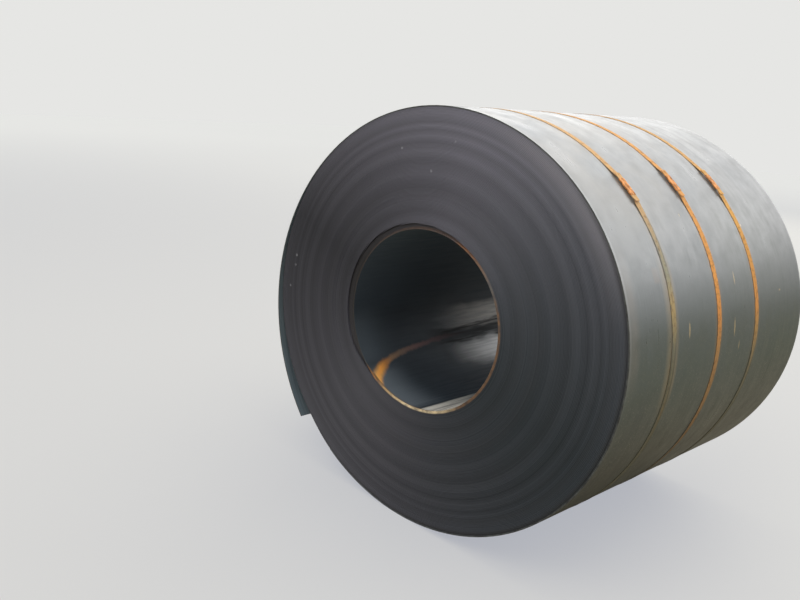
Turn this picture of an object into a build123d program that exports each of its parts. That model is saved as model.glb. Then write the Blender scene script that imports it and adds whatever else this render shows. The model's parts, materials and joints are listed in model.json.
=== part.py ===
from build123d import *
import os
from math import acos, asin, atan2, cos, degrees, hypot, radians, sin

os.makedirs("parts", exist_ok=True)

# A coil of hot-rolled steel strip lying on its side, held by three steel straps.
# Lengths are in millimetres and angles in degrees.
# The eye's axis is Y with the origin at its middle, the near end faces -Y and Z is up.
# Angles are measured from +X towards +Z, as the near end is seen.

# The wound strip
EYE_DIAMETER = 762.0
OUTER_DIAMETER = 1778.0
STRIP_WIDTH = 1524.0
STRIP_THICKNESS = 5.0

# Laps wander in and out as they are wound, so each end is a set of flat bands.
# Each pair is the band's outer edge as a share of the wall, and how far back it sits
# as a share of the wander.
END_WANDER = 4.0
NEAR_BANDS = ((0.11, 0.0), (0.27, 0.6), (0.56, 0.0), (0.72, 0.4), (0.94, 0.8), (1.0, 0.3))
FAR_BANDS = ((0.14, 0.0), (0.38, 0.5), (0.70, 0.0), (0.90, 0.7), (1.0, 1.0))

# The strip's sprung outer end
TAIL_ROOT_ANGLE = 125.0
TAIL_LENGTH = 1610.0
TAIL_EXTRA_RADIUS = 58.0
TAIL_ROOT_GAP = 1.0

# The strip's inner end, a rounded tongue lying against the lap outside it
TONGUE_CORNER_ANGLE = -123.0
TONGUE_REACH = 128.0
TONGUE_ROOT_ANGLE = 3.0
TONGUE_STEP_ANGLE = 72.0
TONGUE_STEP_RUN_OUT = 1.0

# Straps and their seals
STRAP_WIDTH = 32.0
STRAP_THICKNESS = 1.0
STRAP_CLEARANCE = 0.3
STRAP_OVERLAP = 130.0
NEAR_STRAP_DISTANCE = 316.0
MIDDLE_STRAP_DISTANCE = 686.0
FAR_STRAP_DISTANCE = 1037.0
SEAL_LENGTH = 76.0
SEAL_THICKNESS = 1.2
SEAL_SIDE_CLEARANCE = 0.3
SEAL_LIP = 10.0
SEAL_LIFT = 5.0
SEAL_FLAT_MARGIN = 4.0
SEAL_NOTCH_RADIUS = 3.0
NEAR_SEAL_ANGLE = 46.0
MIDDLE_SEAL_ANGLE = 46.6
FAR_SEAL_ANGLE = 46.4

eye_radius = EYE_DIAMETER / 2
outer_radius = OUTER_DIAMETER / 2
wall = outer_radius - eye_radius
near_end = -STRIP_WIDTH / 2
far_end = STRIP_WIDTH / 2
tail_near = near_end + NEAR_BANDS[-1][1] * END_WANDER
tail_far = far_end - FAR_BANDS[-1][1] * END_WANDER


def polar(radius, angle):
    return Vector(radius * cos(radians(angle)), radius * sin(radians(angle)))


def arc(centre, radius, start, end):
    """An arc about a centre from one angle to another."""
    points = [centre + polar(radius, angle) for angle in (start, (start + end) / 2, end)]
    return ThreePointArc(*points)


def slab(sketch, y_low, y_high):
    """Extrude an end-view sketch along the coil's axis."""
    return extrude(Plane.XZ.offset(-y_low) * sketch, amount=y_high - y_low, dir=(0, 1, 0))


# The turned body: the eye, the outer surface and the banded ends
def end_points(bands, end, inward):
    points = []
    inner = eye_radius
    for share, set_back in bands:
        outer = eye_radius + share * wall
        y = end + inward * set_back * END_WANDER
        points += [(inner, y), (outer, y)]
        inner = outer
    return points


near_points = end_points(NEAR_BANDS, near_end, 1)
far_points = end_points(FAR_BANDS, far_end, -1)
profile = make_face(Polyline(*near_points, *reversed(far_points), close=True))
body = revolve(profile, axis=Axis.Y)

# The tail leaves the wound surface on a flatter arc, tangent at its root
tail_radius = outer_radius + TAIL_EXTRA_RADIUS
tail_centre = polar(-TAIL_EXTRA_RADIUS, TAIL_ROOT_ANGLE)
tail_end_angle = TAIL_ROOT_ANGLE + degrees(TAIL_LENGTH / tail_radius)
tail_tip = tail_centre + polar(tail_radius, tail_end_angle)
tip_radius = tail_tip.length
tip_angle = degrees(atan2(tail_tip.Y, tail_tip.X)) % 360
rest_angle = tip_angle + degrees(acos(outer_radius / tip_radius))

outer_side = arc(tail_centre, tail_radius, TAIL_ROOT_ANGLE, tail_end_angle)
inner_side = arc(tail_centre, tail_radius - STRIP_THICKNESS, tail_end_angle, TAIL_ROOT_ANGLE)
tip_edge = Line(outer_side @ 1, inner_side @ 0)
root_edge = Line(inner_side @ 1, outer_side @ 0)
tail = slab(make_face([outer_side, tip_edge, inner_side, root_edge]), tail_near, tail_far)

# Under the tail the next lap down shows, and rises back to the full size past the tip
floor_radius = outer_radius - STRIP_THICKNESS - TAIL_ROOT_GAP
middle_rise = (tip_angle + rest_angle) / 2
floor = arc(Vector(0, 0), floor_radius, TAIL_ROOT_ANGLE, tip_angle)
rise = ThreePointArc(
    polar(floor_radius, tip_angle),
    polar((floor_radius + outer_radius) / 2, middle_rise),
    polar(outer_radius + TAIL_ROOT_GAP, rest_angle),
)
clear_radius = outer_radius + 4 * STRIP_THICKNESS
beyond = arc(Vector(0, 0), clear_radius, rest_angle, TAIL_ROOT_ANGLE)
step = Line(beyond @ 1, floor @ 0)
closing = Line(rise @ 1, beyond @ 0)
under_tail = make_face([floor, rise, closing, beyond, step])
body -= slab(under_tail, near_end, far_end)
body += tail

# The tongue ends the innermost lap, so the wall beyond it steps out by one lap
step_start = TONGUE_CORNER_ANGLE + TONGUE_ROOT_ANGLE
step_end = step_start - TONGUE_STEP_ANGLE
run_past = 4 * STRIP_THICKNESS
lap_radius = eye_radius + STRIP_THICKNESS
inside_radius = eye_radius - STRIP_THICKNESS
last_radius = eye_radius - TONGUE_STEP_RUN_OUT
ramp = ThreePointArc(
    polar(lap_radius, step_start),
    polar((lap_radius + last_radius) / 2, (step_start + step_end) / 2),
    polar(last_radius, step_end),
)
inside = arc(Vector(0, 0), inside_radius, step_end, step_start)
step_sides = [Line(ramp @ 1, inside @ 0), Line(inside @ 1, ramp @ 0)]
step_face = make_face([ramp, inside, *step_sides])
lap_step = slab(step_face, near_end - run_past, far_end + run_past)

tongue_angle = TONGUE_CORNER_ANGLE - degrees(asin(TONGUE_REACH / 2 / eye_radius))
outward = Vector(cos(radians(tongue_angle)), 0, sin(radians(tongue_angle)))
tongue_plane = Plane(origin=outward * inside_radius * 0.9, x_dir=(0, 1, 0), z_dir=outward)
tongue_sketch = Ellipse(STRIP_WIDTH / 2, TONGUE_REACH)
tongue_sketch += Pos(0, run_past) * Rectangle(STRIP_WIDTH + 3 * run_past, 2 * run_past)
tongue_face = tongue_plane * (Pos(0, TONGUE_REACH / 2) * tongue_sketch)
tongue = extrude(tongue_face, amount=inside_radius * 0.2)
body -= lap_step - tongue

export_step(body, "parts/coil_body.step")


# Straps are pulled tight round the coil and its tail, and lift where the seal grips them
def strap_path(seal_angle, out):
    """The end-view shape inside a tight strap, moved out by a distance."""
    axis = Vector(0, 0)
    lifted = outer_radius + SEAL_LIFT
    half_flat = SEAL_LENGTH / 2 + SEAL_FLAT_MARGIN
    corner = degrees(atan2(half_flat, lifted))
    corner_radius = hypot(lifted, half_flat)
    touch = corner + degrees(acos(outer_radius / corner_radius))
    bends = (
        arc(axis, outer_radius + out, rest_angle - 360, seal_angle - touch),
        arc(polar(corner_radius, seal_angle - corner), out, seal_angle - touch, seal_angle),
        arc(polar(corner_radius, seal_angle + corner), out, seal_angle, seal_angle + touch),
        arc(axis, outer_radius + out, seal_angle + touch, TAIL_ROOT_ANGLE),
        arc(tail_centre, tail_radius + out, TAIL_ROOT_ANGLE, tail_end_angle),
        arc(tail_tip, out, tail_end_angle, rest_angle),
    )
    # The strap is straight wherever one bend doesn't run into the next
    straights = [
        Line(one @ 1, two @ 0)
        for one, two in zip(bends, bends[1:] + bends[:1])
        if (one @ 1 - two @ 0).length > STRAP_CLEARANCE / 10
    ]
    return make_face([*bends, *straights])


def strap(y, seal_angle):
    """One strap, with its free end lying over it at the seal."""
    outer = strap_path(seal_angle, STRAP_CLEARANCE + STRAP_THICKNESS)
    inner = strap_path(seal_angle, STRAP_CLEARANCE)
    loop = slab(outer - inner, y - STRAP_WIDTH / 2, y + STRAP_WIDTH / 2)
    height = outer_radius + SEAL_LIFT + STRAP_CLEARANCE + 1.5 * STRAP_THICKNESS
    upper = Pos(height, 0) * Rectangle(STRAP_THICKNESS, STRAP_OVERLAP)
    overlap = slab(Rot(0, 0, seal_angle) * upper, y - STRAP_WIDTH / 2, y + STRAP_WIDTH / 2)
    return loop + overlap


def seal(y, seal_angle):
    """One folded sleeve round both layers of a strap, open along its underside."""
    grip = 2 * STRAP_THICKNESS
    inner_width = STRAP_WIDTH + 2 * SEAL_SIDE_CLEARANCE
    outer_width = inner_width + 2 * SEAL_THICKNESS
    outer_height = grip + 2 * SEAL_THICKNESS
    section = Rectangle(outer_width, outer_height)
    section -= Rectangle(inner_width, grip)
    section -= Pos(0, -outer_height / 2) * Rectangle(outer_width - 2 * SEAL_LIP, outer_height / 2)
    along = Vector(sin(radians(seal_angle)), 0, -cos(radians(seal_angle)))
    up = Vector(cos(radians(seal_angle)), 0, sin(radians(seal_angle)))
    middle = up * (outer_radius + SEAL_LIFT + STRAP_CLEARANCE + STRAP_THICKNESS)
    middle += Vector(0, y, 0)
    sleeve = extrude(Plane(middle, x_dir=(0, 1, 0), z_dir=along) * section, SEAL_LENGTH / 2, both=True)
    spots = GridLocations(outer_width, SEAL_LENGTH / 2.5, 2, 2)
    notches = Sketch() + [place * Circle(SEAL_NOTCH_RADIUS) for place in spots]
    top = Plane(middle, x_dir=(0, 1, 0), z_dir=up)
    return sleeve - extrude(top * notches, outer_height, both=True)


for name, at, angle in (
    ("near", NEAR_STRAP_DISTANCE, NEAR_SEAL_ANGLE),
    ("middle", MIDDLE_STRAP_DISTANCE, MIDDLE_SEAL_ANGLE),
    ("far", FAR_STRAP_DISTANCE, FAR_SEAL_ANGLE),
):
    export_step(strap(near_end + at, angle), f"parts/strap_{name}.step")
    export_step(seal(near_end + at, angle), f"parts/seal_{name}.step")
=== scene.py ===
# %% [markdown]
# # A coil of hot-rolled steel strip
# One long strip of steel is wound round and round until it weighs more than twenty tonnes.
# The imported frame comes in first, already at its real size, and everything here is dressed on it.
# Lengths are in metres. The coil's axis is Y, and the end that faces -Y is the near one.

import json
from math import atan2, cos, degrees, floor, hypot, pi, radians, sin

import bpy
from mathutils import Matrix, Vector, noise


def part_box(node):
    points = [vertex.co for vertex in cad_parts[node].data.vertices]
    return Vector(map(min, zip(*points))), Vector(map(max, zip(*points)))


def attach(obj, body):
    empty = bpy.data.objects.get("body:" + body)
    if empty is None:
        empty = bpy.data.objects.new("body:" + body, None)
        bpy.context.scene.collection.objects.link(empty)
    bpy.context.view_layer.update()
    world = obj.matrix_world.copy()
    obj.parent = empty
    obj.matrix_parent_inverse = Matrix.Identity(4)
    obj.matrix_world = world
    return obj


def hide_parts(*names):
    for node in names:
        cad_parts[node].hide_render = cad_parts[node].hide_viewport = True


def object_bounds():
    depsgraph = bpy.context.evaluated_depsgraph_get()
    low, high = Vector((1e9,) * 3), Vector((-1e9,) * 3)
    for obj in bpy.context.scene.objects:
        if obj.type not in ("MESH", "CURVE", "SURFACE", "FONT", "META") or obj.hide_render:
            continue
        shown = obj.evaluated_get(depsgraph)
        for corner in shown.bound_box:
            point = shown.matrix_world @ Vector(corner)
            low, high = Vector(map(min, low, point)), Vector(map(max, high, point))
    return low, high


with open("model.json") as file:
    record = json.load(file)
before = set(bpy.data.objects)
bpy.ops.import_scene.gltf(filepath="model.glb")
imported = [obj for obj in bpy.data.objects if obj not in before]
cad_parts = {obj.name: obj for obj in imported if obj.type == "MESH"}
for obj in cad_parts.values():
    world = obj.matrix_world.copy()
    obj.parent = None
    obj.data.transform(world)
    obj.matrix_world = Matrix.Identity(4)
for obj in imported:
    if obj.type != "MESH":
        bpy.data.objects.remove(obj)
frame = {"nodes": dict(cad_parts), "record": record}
cad_low, cad_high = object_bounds()
scene = bpy.context.scene
print("frame nodes:", sorted(frame["nodes"]))

# %% [markdown]
# ## The sizes of the winding
# The frame gives the outside and the eye. What lies between them is laps of strip,
# so their number follows from the strip's thickness.
# The sizes could be typed in again, but read from the frame they can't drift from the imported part.
# Angles run from +X towards +Z, as the near end is seen.

# %% Measure the winding
MM = 0.001
body_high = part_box("coil_body")[1]
eye_mount = next(mount for mount in frame["record"]["mounts"] if mount["name"] == "eye")
OUTER_RADIUS = body_high.x
HALF_WIDTH = body_high.y
EYE_RADIUS = eye_mount["dims"]["r_mm"] * MM
STRIP_THICKNESS = 5 * MM
LAPS = floor((OUTER_RADIUS - EYE_RADIUS) / STRIP_THICKNESS)
LAP_PITCH = (OUTER_RADIUS - EYE_RADIUS) / LAPS
print(f"{LAPS} laps, {LAP_PITCH / MM:.2f} mm apart, from {EYE_RADIUS:.3f} to {OUTER_RADIUS:.3f} m")

# %% [markdown]
# ## How the laps lie
# A winding is a spiral, but not an even one. Each lap follows the one under it as a true circle,
# and climbs by one thickness only where it has to step over the strip's inner end.
# A screw modifier would climb evenly instead, so the climb is a small formula that moves each point.

# %% Describe how a lap climbs
FULL_TURN = 360.0
TONGUE_CORNER_ANGLE = -123.0
TONGUE_STRAIGHT = 3.0
HEAD_ANGLE = TONGUE_CORNER_ANGLE + TONGUE_STRAIGHT
CLIMB_START_AT_EYE = 288.0
CLIMB_END_AT_EYE = 338.0
CLIMB_START_OUTSIDE = 347.0


def smooth(value, low, high):
    """0 below low, 1 above high, and an even rise between."""
    share = min(1.0, max(0.0, (value - low) / (high - low)))
    return share * share * (3 - 2 * share)


def climb(lap, turned):
    """How far a lap line has moved out, after turning so many degrees from the head."""
    share = lap / LAPS
    start = CLIMB_START_AT_EYE + share * (CLIMB_START_OUTSIDE - CLIMB_START_AT_EYE)
    end = CLIMB_END_AT_EYE + share * (FULL_TURN - CLIMB_END_AT_EYE)
    return LAP_PITCH * smooth(turned, start, end)


print("a lap has climbed", climb(0, FULL_TURN / 2) / MM, "mm half a turn round")
print("and", round(climb(0, FULL_TURN) / MM, 2), "mm at its end")

# %% [markdown]
# ## How the laps wander
# The laps also shift in and out by a few millimetres, which leaves flat bands on both ends.
# Round the eye a crescent of slack laps has slipped back behind the innermost one,
# and the lap under the outermost one has sunk by a millimetre.
# Each lap could be pushed by hand, but one formula keeps a hundred of them in step.

# %% Describe how far each lap stands back
# A band is its outer edge as a share of the wall, and how far back it sits as a share of the wander
NEAR_BANDS = ((0.11, 0.0), (0.27, 0.6), (0.56, 0.0), (0.72, 0.4), (0.94, 0.8), (1.0, 0.3))
FAR_BANDS = ((0.14, 0.0), (0.38, 0.5), (0.70, 0.0), (0.90, 0.7), (1.0, 1.0))
END_WANDER = 4 * MM
BAND_EDGE_LAPS = 4.0
LAP_SCATTER = 0.9 * MM
SCATTER_STEP = 0.83
SCATTER_SEED = 99
SLACK_LAPS = 7
SLACK_DEPTH = 8 * MM
SLACK_OPENS = (150.0, 290.0)
SLACK_CLOSES = (320.0, 358.0)
SINKING_LAPS = (LAPS - 2.5, LAPS - 1.5)
SUNK_DEPTH = 1 * MM


def set_back(lap, turned, bands):
    """How far a lap's edge stands back from the coil's end."""
    wound = lap + turned / FULL_TURN
    band = bands[0][1]
    for (limit, here), (_, beyond) in zip(bands, bands[1:]):
        edge = limit * LAPS
        band += (beyond - here) * smooth(wound, edge - BAND_EDGE_LAPS, edge + BAND_EDGE_LAPS)
    scatter = 0.5 + 0.5 * noise.noise((wound * SCATTER_STEP, bands[0][0] * SCATTER_SEED, 0))
    depth = band * END_WANDER + LAP_SCATTER * scatter
    depth += SUNK_DEPTH * smooth(wound, *SINKING_LAPS)
    if bands is NEAR_BANDS and lap >= 1:
        slack = SLACK_LAPS * smooth(turned, *SLACK_OPENS) * (1 - smooth(turned, *SLACK_CLOSES))
        depth += SLACK_DEPTH * smooth(slack, lap - 1, lap)
    return depth


print("the first slack lap stands back", round(set_back(1, SLACK_OPENS[1], NEAR_BANDS) / MM, 1), "mm")

# %% [markdown]
# ## One lap's edge, many times over
# A mill rolls the strip's edge round, so every lap ends in a low crown with a groove either side.
# The outline of one crown is drawn point by point, an array lays it side by side up the wall,
# and a mirror makes the other end. Spinning that outline makes the whole wound body in one go,
# where modelling strip by strip would leave a hundred loose shells.

# %% Helpers that start a mesh and choose its points


def begin(name, size=1.0):
    """A new flat square at the origin, alone in the selection and open in edit mode."""
    bpy.ops.object.select_all(action="DESELECT")
    bpy.ops.mesh.primitive_plane_add(size=size, location=(0, 0, 0))
    piece = bpy.context.object
    piece.name = name
    bpy.ops.object.mode_set(mode="EDIT")
    bpy.ops.mesh.select_all(action="SELECT")
    return piece


def choose(piece, wanted):
    """Select only the points for which wanted says yes."""
    bpy.ops.mesh.select_mode(type="VERT")
    bpy.ops.mesh.select_all(action="DESELECT")
    bpy.ops.object.mode_set(mode="OBJECT")
    for point in piece.data.vertices:
        point.select = wanted(point)
    bpy.ops.object.mode_set(mode="EDIT")


def apply_modifier(piece, kind, settings):
    """Add a modifier with these settings and make its result real."""
    bpy.ops.object.mode_set(mode="OBJECT")
    modifier = piece.modifiers.new(kind.lower(), kind)
    for name, value in settings.items():
        setattr(modifier, name, value)
    bpy.ops.object.modifier_apply(modifier=modifier.name)
    bpy.ops.object.mode_set(mode="EDIT")


# %% Draw the outline of the laps and spin it
CROWN_SHOULDER = 0.24
GROOVE_DEPTH = 1.1 * MM
SEGMENTS = 144
TOUCHING = 0.01 * MM
wound = begin("wound_coil", STRIP_THICKNESS)
bpy.ops.mesh.merge(type="CENTER")
bpy.ops.transform.translate(value=(EYE_RADIUS, GROOVE_DEPTH - HALF_WIDTH, 0))
shoulder = CROWN_SHOULDER * LAP_PITCH
for step in (
    (shoulder, -GROOVE_DEPTH, 0),
    (LAP_PITCH - 2 * shoulder, 0, 0),
    (shoulder, GROOVE_DEPTH, 0),
):
    bpy.ops.mesh.extrude_region_move(TRANSFORM_OT_translate={"value": step})
apply_modifier(wound, "ARRAY", {
    "count": LAPS - 1,
    "use_relative_offset": False,
    "use_constant_offset": True,
    "constant_offset_displace": (LAP_PITCH, 0, 0),
    "use_merge_vertices": True,
    "merge_threshold": TOUCHING,
})
apply_modifier(wound, "MIRROR", {"use_axis": (False, True, False), "use_mirror_merge": False})
outline = len(wound.data.vertices)
for edge_of_wall in (EYE_RADIUS, OUTER_RADIUS - LAP_PITCH):
    choose(wound, lambda point: abs(point.co.x - edge_of_wall) < TOUCHING)
    bpy.ops.mesh.edge_face_add()
bpy.ops.mesh.select_all(action="SELECT")
bpy.ops.mesh.spin(steps=SEGMENTS, angle=2 * pi, use_auto_merge=False, center=(0, 0, 0), axis=(0, 1, 0))
bpy.ops.object.mode_set(mode="OBJECT")
print(outline, "points in the outline,", len(wound.data.vertices), "after the spin")

# %% [markdown]
# ## From rings to a spiral
# The spin leaves closed rings. Moving each line out by the climb makes the end of one ring meet
# the start of the next, so a weld along that seam joins them all into one long strip.
# The same pass sets every lap's edge back by its own wander. A groove between two laps
# belongs to both, so it goes as deep as the deeper one.

# %% Wind the rings into a spiral
IN_A_GROOVE = 0.1
SEAM_WELD = 0.02 * MM
for point in wound.data.vertices:
    turned = FULL_TURN * (point.index // outline) / SEGMENTS
    radius = hypot(point.co.x, point.co.z)
    line = (radius - EYE_RADIUS) / LAP_PITCH
    bands = NEAR_BANDS if point.co.y < 0 else FAR_BANDS
    inwards = 1 if point.co.y < 0 else -1
    if abs(line - round(line)) < IN_A_GROOVE:
        beside = [lap for lap in (round(line) - 1, round(line)) if lap >= 0]
        depth = max(set_back(lap, turned, bands) for lap in beside)
    else:
        depth = set_back(floor(line), turned, bands)
    wider = (radius + climb(round(line, 2), turned)) / radius
    point.co.x *= wider
    point.co.z *= wider
    point.co.y += inwards * depth
bpy.ops.object.mode_set(mode="EDIT")
choose(wound, lambda point: point.index < outline or point.index >= SEGMENTS * outline)
bpy.ops.mesh.remove_doubles(threshold=SEAM_WELD)
bpy.ops.mesh.select_all(action="DESELECT")
bpy.ops.mesh.select_non_manifold()
bpy.ops.mesh.fill_holes(sides=0)
bpy.ops.mesh.select_all(action="SELECT")
bpy.ops.mesh.normals_make_consistent(inside=False)
bpy.ops.object.mode_set(mode="OBJECT")
wound.data.transform(Matrix.Rotation(radians(-HEAD_ANGLE), 4, "Y"))
print(len(wound.data.vertices), "points in the wound body")

# %% [markdown]
# ## The last lap and its tail
# The outermost lap is one closed section of strip, carried round by two spins.
# The first follows the coil. The second turns about a centre a little further away,
# because the freed end springs open to a flatter curve and lifts off the lap under it.
# A curve with a section swept along it would do as well, but two spins keep both arcs exact.

# %% Work out how the tail turns
TAIL_ROOT_ANGLE = 125.0
TAIL_LENGTH = 1610 * MM
TAIL_EXTRA_RADIUS = 58 * MM
tail_near = -HALF_WIDTH + NEAR_BANDS[-1][1] * END_WANDER
tail_far = HALF_WIDTH - FAR_BANDS[-1][1] * END_WANDER
last_lap_turn = TAIL_ROOT_ANGLE - HEAD_ANGLE
tail_turn = TAIL_LENGTH / (OUTER_RADIUS + TAIL_EXTRA_RADIUS)
tail_centre = (
    -TAIL_EXTRA_RADIUS * cos(radians(last_lap_turn)),
    0,
    -TAIL_EXTRA_RADIUS * sin(radians(last_lap_turn)),
)
print("the tail turns", round(degrees(tail_turn), 1), "degrees")

# %% Spin the last lap and the tail
TAIL_SEGMENTS = 40
last_lap = begin("last_lap")
bpy.ops.transform.resize(value=(LAP_PITCH, tail_far - tail_near, 1))
bpy.ops.transform.translate(value=(OUTER_RADIUS - LAP_PITCH / 2, (tail_near + tail_far) / 2, 0))
bpy.ops.mesh.bevel(offset=shoulder, segments=2, affect="VERTICES")
bpy.ops.mesh.delete(type="ONLY_FACE")
bpy.ops.mesh.select_all(action="SELECT")
bpy.ops.mesh.spin(
    steps=round(SEGMENTS * last_lap_turn / FULL_TURN), angle=radians(last_lap_turn),
    use_auto_merge=False, center=(0, 0, 0), axis=(0, 1, 0),
)
bpy.ops.mesh.spin(
    steps=TAIL_SEGMENTS, angle=tail_turn, use_auto_merge=False, center=tail_centre, axis=(0, 1, 0),
)
bpy.ops.mesh.select_all(action="DESELECT")
bpy.ops.mesh.select_non_manifold()
bpy.ops.mesh.fill_holes(sides=0)
bpy.ops.mesh.select_all(action="SELECT")
bpy.ops.mesh.normals_make_consistent(inside=False)
bpy.ops.object.mode_set(mode="OBJECT")
last_lap.data.transform(Matrix.Rotation(radians(-HEAD_ANGLE), 4, "Y"))
tip = max(last_lap.data.vertices, key=lambda point: hypot(point.co.x, point.co.z)).co
tip_angle = degrees(atan2(tip.z, tip.x)) % FULL_TURN
print("tail tip at radius", round(hypot(tip.x, tip.z), 4), "angle", round(tip_angle, 1))

# %% [markdown]
# ## The tongue at the head
# Seen in the eye, the strip's inner end is a rounded tongue. The strip's section is
# extruded round the eye a little at a time and narrowed at each step, so its outline is half an ellipse.
# Cutting the shape out of a finished wall would leave ragged faces along the curve.
# With no window, the rotate operator turns the other way, so the angles carry a minus sign.

# %% Extrude the tongue round the eye
TONGUE_REACH = 19.3
TONGUE_STEPS = 18
TIP_SHARE = 0.985
tongue = begin("tongue")
bpy.ops.transform.resize(value=(LAP_PITCH, 2 * HALF_WIDTH, 1))
bpy.ops.transform.translate(value=(EYE_RADIUS + LAP_PITCH / 2, 0, 0))
bpy.ops.mesh.bevel(offset=shoulder, segments=2, affect="VERTICES")
turned = 0.0
width = 1.0
for step in range(TONGUE_STEPS + 1):
    share = TIP_SHARE * sin(step / TONGUE_STEPS * pi / 2)
    next_turned = TONGUE_STRAIGHT + TONGUE_REACH * share
    next_width = (1 - share ** 2) ** 0.5
    bpy.ops.mesh.extrude_region_move()
    bpy.ops.transform.rotate(
        value=-radians(next_turned - turned), orient_axis="Y", center_override=(0, 0, 0),
    )
    bpy.ops.transform.resize(value=(1, next_width / width, 1), center_override=(0, 0, 0))
    turned = next_turned
    width = next_width
bpy.ops.mesh.select_all(action="SELECT")
bpy.ops.mesh.normals_make_consistent(inside=False)
bpy.ops.object.mode_set(mode="OBJECT")
tongue.data.transform(Matrix.Rotation(radians(-HEAD_ANGLE), 4, "Y"))
tongue_angles = sorted(degrees(atan2(point.co.z, point.co.x)) for point in tongue.data.vertices)
print("tongue from", round(tongue_angles[0], 1), "to", round(tongue_angles[-1], 1), "degrees")

# %% [markdown]
# ## One piece of strip
# The body, the last lap and the tongue are one strip on the real coil, so they are joined.
# The faces are sorted by place first, while it is still known which mesh they belong to.
# Painting a mask would do it too, but where a face lies and leans says enough.

# %% Sort the faces by their finish
STRIP_FINISHES = (
    "hot_rolled_mill_scale", "rolled_strip_edges", "eye_mill_scale", "worn_strip_edge", "sheltered_scale",
)
OUTSIDE, ENDS, EYE, WORN_EDGE, SHELTERED = range(5)
EDGE_LEAN = 0.3
EDGE_ZONE = 30 * MM
CLEAR_OF_WALL = 0.4 * MM
EYE_LAPS = 2


def sort_faces(piece, edge_finish, wide_finish):
    """Give the faces at both ends of the coil one finish, and those along its width another."""
    for face in piece.data.polygons:
        radius = hypot(face.center.x, face.center.z)
        at_end = abs(face.center.y) > HALF_WIDTH - EDGE_ZONE
        between_laps = EYE_RADIUS + CLEAR_OF_WALL < radius < OUTER_RADIUS - LAP_PITCH - CLEAR_OF_WALL
        if at_end and (abs(face.normal.y) > EDGE_LEAN or (between_laps and piece is wound)):
            face.material_index = edge_finish
        else:
            face.material_index = wide_finish(radius)


for name in STRIP_FINISHES:
    finish = bpy.data.materials.new(name)
    for piece in (wound, last_lap, tongue):
        piece.data.materials.append(finish)
sort_faces(wound, ENDS, lambda radius: EYE if radius < EYE_RADIUS + EYE_LAPS * LAP_PITCH else OUTSIDE)
sort_faces(last_lap, WORN_EDGE, lambda radius: OUTSIDE)
sort_faces(tongue, EYE, lambda radius: EYE)
for face in last_lap.data.polygons:
    outwards = face.normal.x * face.center.x + face.normal.z * face.center.z
    if face.material_index == OUTSIDE and outwards < 0:
        face.material_index = SHELTERED
print(sum(face.material_index == SHELTERED for face in last_lap.data.polygons), "faces inside the tail")

# %% Join the strip
SMOOTH_BELOW = 20
bpy.ops.object.select_all(action="DESELECT")
for piece in (wound, last_lap, tongue):
    piece.select_set(True)
bpy.context.view_layer.objects.active = wound
bpy.ops.object.join()
bpy.ops.object.shade_smooth_by_angle(angle=radians(SMOOTH_BELOW))
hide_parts("coil_body")
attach(wound, "root")
wound.data.calc_loop_triangles()
print(len(wound.data.loop_triangles), "triangles in the wound coil")
for index, finish in enumerate(wound.data.materials):
    print(finish.name, sum(face.material_index == index for face in wound.data.polygons), "faces")

# %% [markdown]
# ## Helpers for the finishes
# Every finish is a small network of nodes. One function adds a node, sets it and joins it up.
# Colours are written as they look on a screen, and one function turns them into linear light.
# The others say where a point is on the coil, mask a band or an oval mark there, lay one colour
# over another as strongly as the masks allow, and draw noise of a size given in metres.
# Ready-made pictures would be quicker, but they blur close up and repeat on so large a coil.

# %% Colours and nodes


def colour(code):
    """A screen colour such as #808080, as the linear values that a shader takes."""
    channels = [int(code[place:place + 2], 16) / 255 for place in (1, 3, 5)]
    linear = [
        level / 12.92 if level <= 0.04045 else ((level + 0.055) / 1.055) ** 2.4 for level in channels
    ]
    return (*linear, 1.0)


def add(tree, kind, inputs, stops=(), **settings):
    """Add a node. Each input is a value, or another node's output to join to it."""
    made = tree.nodes.new(kind)
    for name, value in settings.items():
        setattr(made, name, value)
    for socket, value in inputs.items():
        if isinstance(value, bpy.types.NodeSocket):
            tree.links.new(value, made.inputs[socket])
        else:
            made.inputs[socket].default_value = value
    for number, (position, code) in enumerate(stops):
        elements = made.color_ramp.elements
        if number == 0:
            elements.remove(elements[1])
            elements[0].position = position
            elements[0].color = colour(code)
        else:
            elements.new(position).color = colour(code)
    return made.outputs


def new_finish(name):
    """The material of this name, with its node tree and its surface shader."""
    material = bpy.data.materials.get(name) or bpy.data.materials.new(name)
    material.use_nodes = True
    tree = material.node_tree
    return material, tree, tree.nodes["Principled BSDF"]


print("middle grey as light:", round(colour("#808080")[0], 3))

# %% Places and masks
HALF_TURN = FULL_TURN / 2


def measure_place(tree):
    """The object place, its three parts, the distance from the axis and the angle in degrees."""
    place = add(tree, "ShaderNodeTexCoord", {})["Object"]
    parts = add(tree, "ShaderNodeSeparateXYZ", {0: place})
    flat = add(tree, "ShaderNodeVectorMath", {0: place, 1: (1, 0, 1)}, operation="MULTIPLY")[0]
    radius = add(tree, "ShaderNodeVectorMath", {0: flat}, operation="LENGTH")["Value"]
    turn = add(tree, "ShaderNodeMath", {0: parts["Z"], 1: parts["X"]}, operation="ARCTAN2")[0]
    angle = add(tree, "ShaderNodeMath", {0: turn}, operation="DEGREES")[0]
    return place, parts, radius, angle


def band(tree, value, low, high, soft):
    """1 between low and high, fading to 0 over the soft width on each side."""
    rise = add(tree, "ShaderNodeMapRange", {
        "Value": value, "From Min": low - soft, "From Max": low,
    }, interpolation_type="SMOOTHSTEP")["Result"]
    fall = add(tree, "ShaderNodeMapRange", {
        "Value": value, "From Min": high, "From Max": high + soft, "To Min": 1.0, "To Max": 0.0,
    }, interpolation_type="SMOOTHSTEP")["Result"]
    return add(tree, "ShaderNodeMath", {0: rise, 1: fall}, operation="MULTIPLY")[0]


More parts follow.
